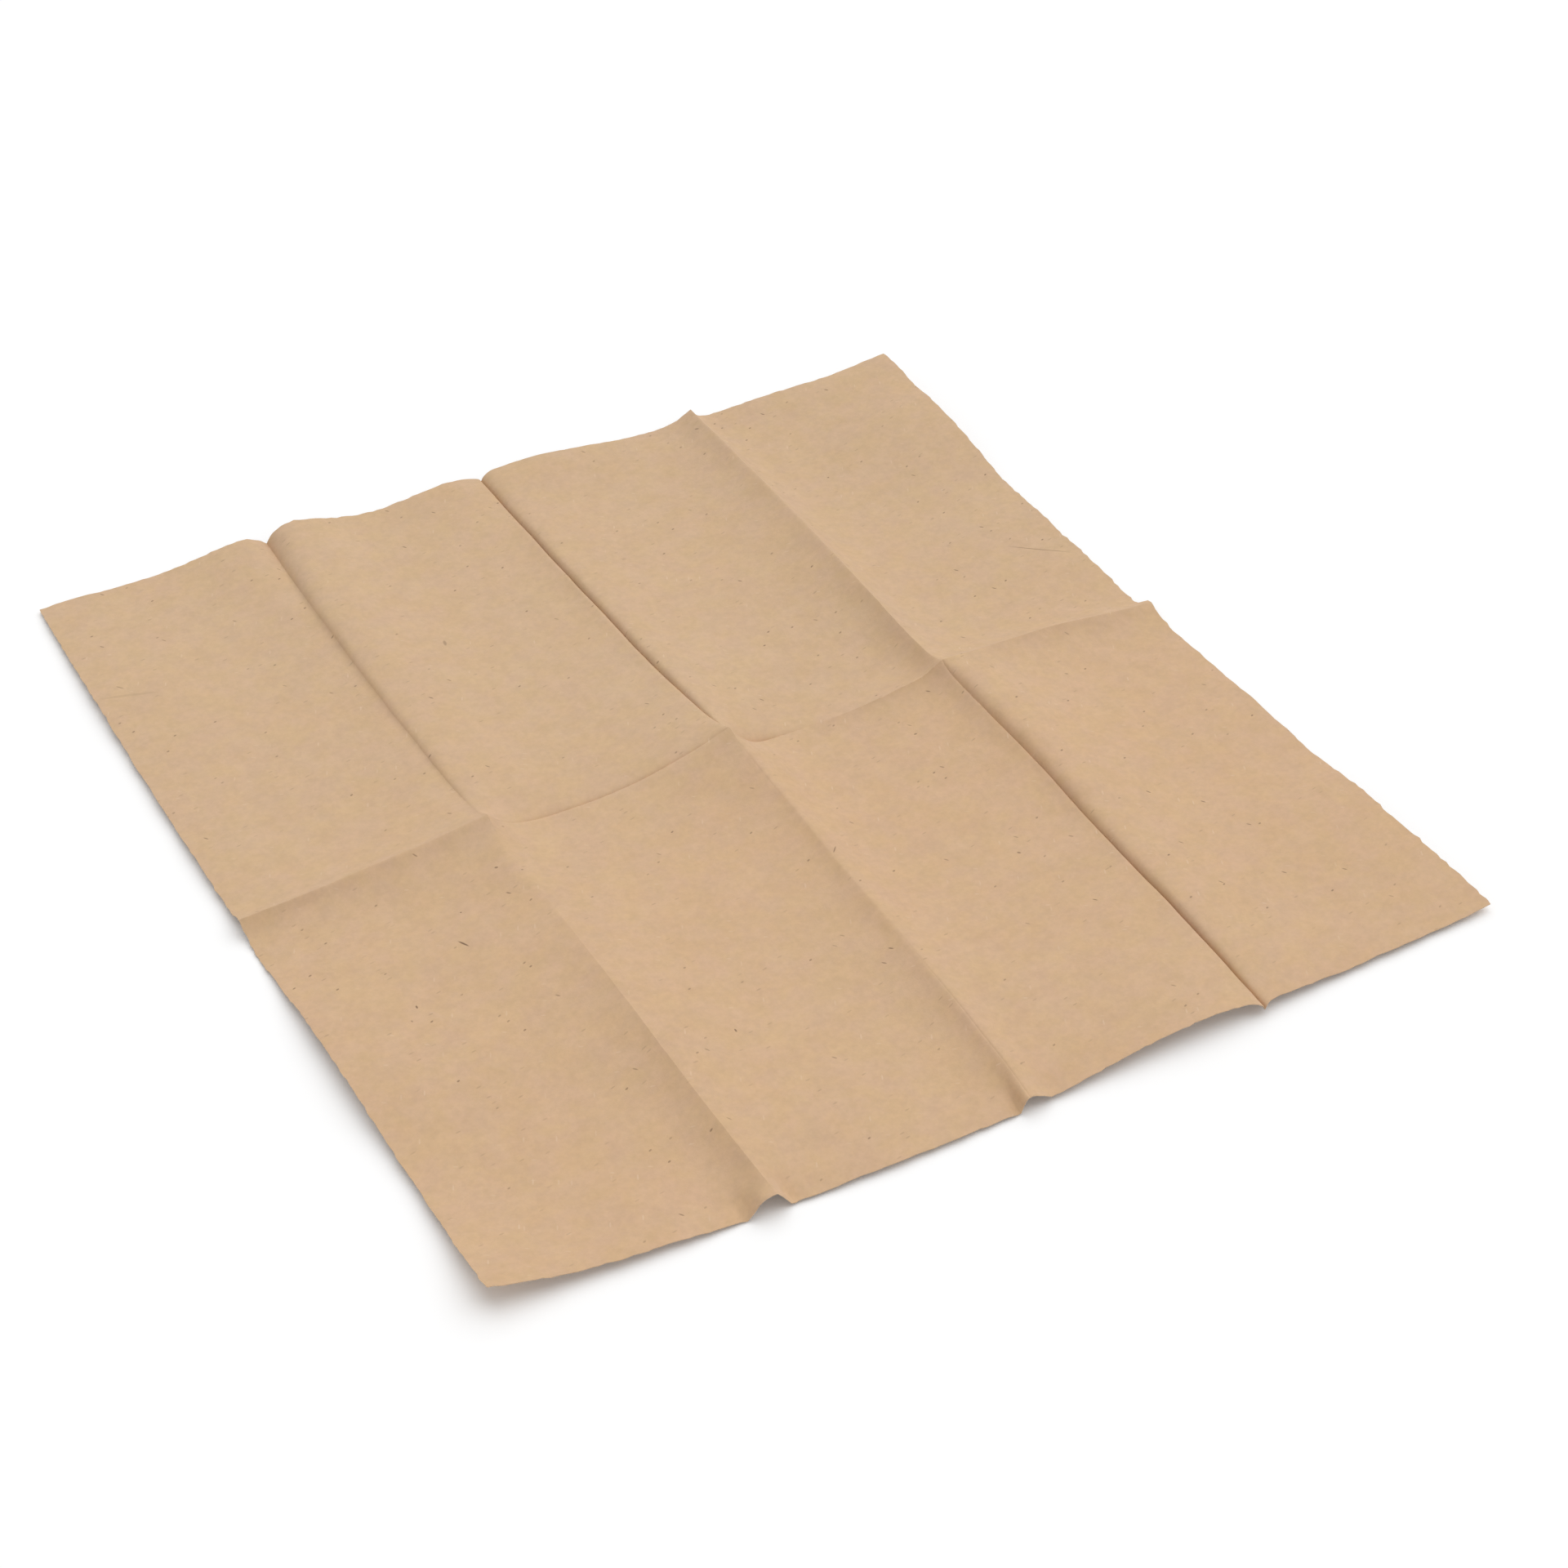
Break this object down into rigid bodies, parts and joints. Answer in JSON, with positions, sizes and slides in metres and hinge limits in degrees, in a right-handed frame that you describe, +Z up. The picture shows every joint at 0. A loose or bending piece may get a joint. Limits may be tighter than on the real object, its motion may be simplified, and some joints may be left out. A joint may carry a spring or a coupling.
{
  "type": "paper napkin",
  "caption": "Nearly square sheet of brown kraft tissue, opened out and lying flat with raised fold creases and slightly curled edges, for wiping hands and mouth.",
  "frame": {"origin": "on the table, under the middle of the sheet's bounding box", "axes": "+Z up from the table, +X across the three long folds, +Y along them away from the lifted front corner"},
  "size_m": [0.3832, 0.4134, 0.0135],
  "materials": {
    "kraft_tissue": "matt unbleached two-ply tissue with fine fibres"
  },
  "bodies": {
    "root": {"napkin": "kraft_tissue"}
  },
  "joints": []
}
